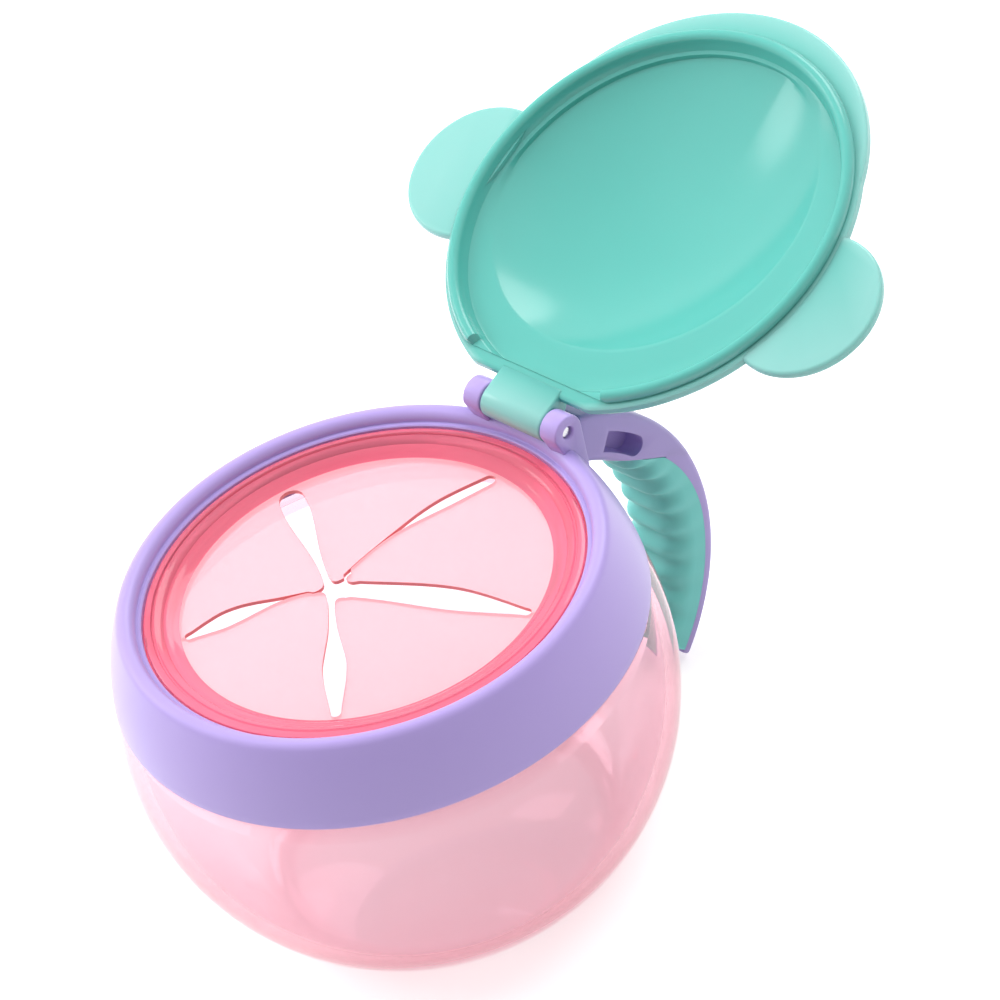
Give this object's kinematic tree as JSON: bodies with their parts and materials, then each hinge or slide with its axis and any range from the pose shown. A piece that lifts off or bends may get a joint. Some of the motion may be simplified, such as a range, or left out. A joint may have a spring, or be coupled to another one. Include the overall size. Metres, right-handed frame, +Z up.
{
  "type": "toddler snack container",
  "caption": "Round clear bowl with a screw-on collar, hooked grip handle, soft flap insert for one-handed snacking and a domed flip lid on a steel pin.",
  "frame": {"origin": "centre of the bowl's flat base, on the surface that it stands on", "axes": "+Z up through the mouth, +Y towards the hinge and the handle, X along the hinge pin"},
  "size_m": [0.1032, 0.1643, 0.0963],
  "materials": {
    "clear_pink": "clear pink-tinted moulded plastic",
    "lavender": "satin moulded plastic",
    "teal_soft": "soft matte overmould",
    "steel": "plain steel",
    "teal_gloss": "glossy moulded plastic",
    "pink_soft": "translucent soft elastomer"
  },
  "bodies": {
    "bowl": {"bowl": "clear_pink"},
    "insert": {"insert_ring": "pink_soft"},
    "collar": {"collar": "lavender", "grip": "teal_soft", "hinge_pin": "steel"},
    "lid": {"lid": "teal_gloss"},
    "flap_1": {"flap_1": "pink_soft"},
    "flap_2": {"flap_2": "pink_soft"},
    "flap_3": {"flap_3": "pink_soft"},
    "flap_4": {"flap_4": "pink_soft"},
    "flap_5": {"flap_5": "pink_soft"}
  },
  "joints": [
    {"name": "collar_rise", "type": "slide", "parent": "bowl", "child": "insert", "axis": [0, 0, 1], "range_m": [0, 0.012]},
    {"name": "collar_twist", "type": "hinge", "parent": "insert", "child": "collar", "pos_m": [0, 0, 0.05], "axis": [0, 0, 1], "range_deg": [0, 360]},
    {"name": "lid_hinge", "type": "hinge", "parent": "collar", "child": "lid", "pos_m": [0, 0.04, 0.0662], "axis": [1, 0, 0], "range_deg": [0, 160.5]},
    {"name": "flap_1_bend", "type": "hinge", "parent": "insert", "child": "flap_1", "pos_m": [-0.01465, 0.02016, 0.0579], "axis": [0.809, 0.5878, 0], "range_deg": [0, 70], "stiffness_Nm_per_rad": 0.004},
    {"name": "flap_2_bend", "type": "hinge", "parent": "insert", "child": "flap_2", "pos_m": [-0.0237, -0.0077, 0.0579], "axis": [-0.309, 0.9511, 0], "range_deg": [0, 70], "stiffness_Nm_per_rad": 0.004},
    {"name": "flap_3_bend", "type": "hinge", "parent": "insert", "child": "flap_3", "pos_m": [0, -0.02492, 0.0579], "axis": [-1, 0, 0], "range_deg": [0, 70], "stiffness_Nm_per_rad": 0.004},
    {"name": "flap_4_bend", "type": "hinge", "parent": "insert", "child": "flap_4", "pos_m": [0.0237, -0.0077, 0.0579], "axis": [-0.309, -0.9511, 0], "range_deg": [0, 70], "stiffness_Nm_per_rad": 0.004},
    {"name": "flap_5_bend", "type": "hinge", "parent": "insert", "child": "flap_5", "pos_m": [0.01465, 0.02016, 0.0579], "axis": [0.809, -0.5878, 0], "range_deg": [0, 70], "stiffness_Nm_per_rad": 0.004}
  ],
  "couplings": [
    {"joint": "collar_rise", "follows": "collar_twist", "m_per_rad": 0.0019099}
  ]
}
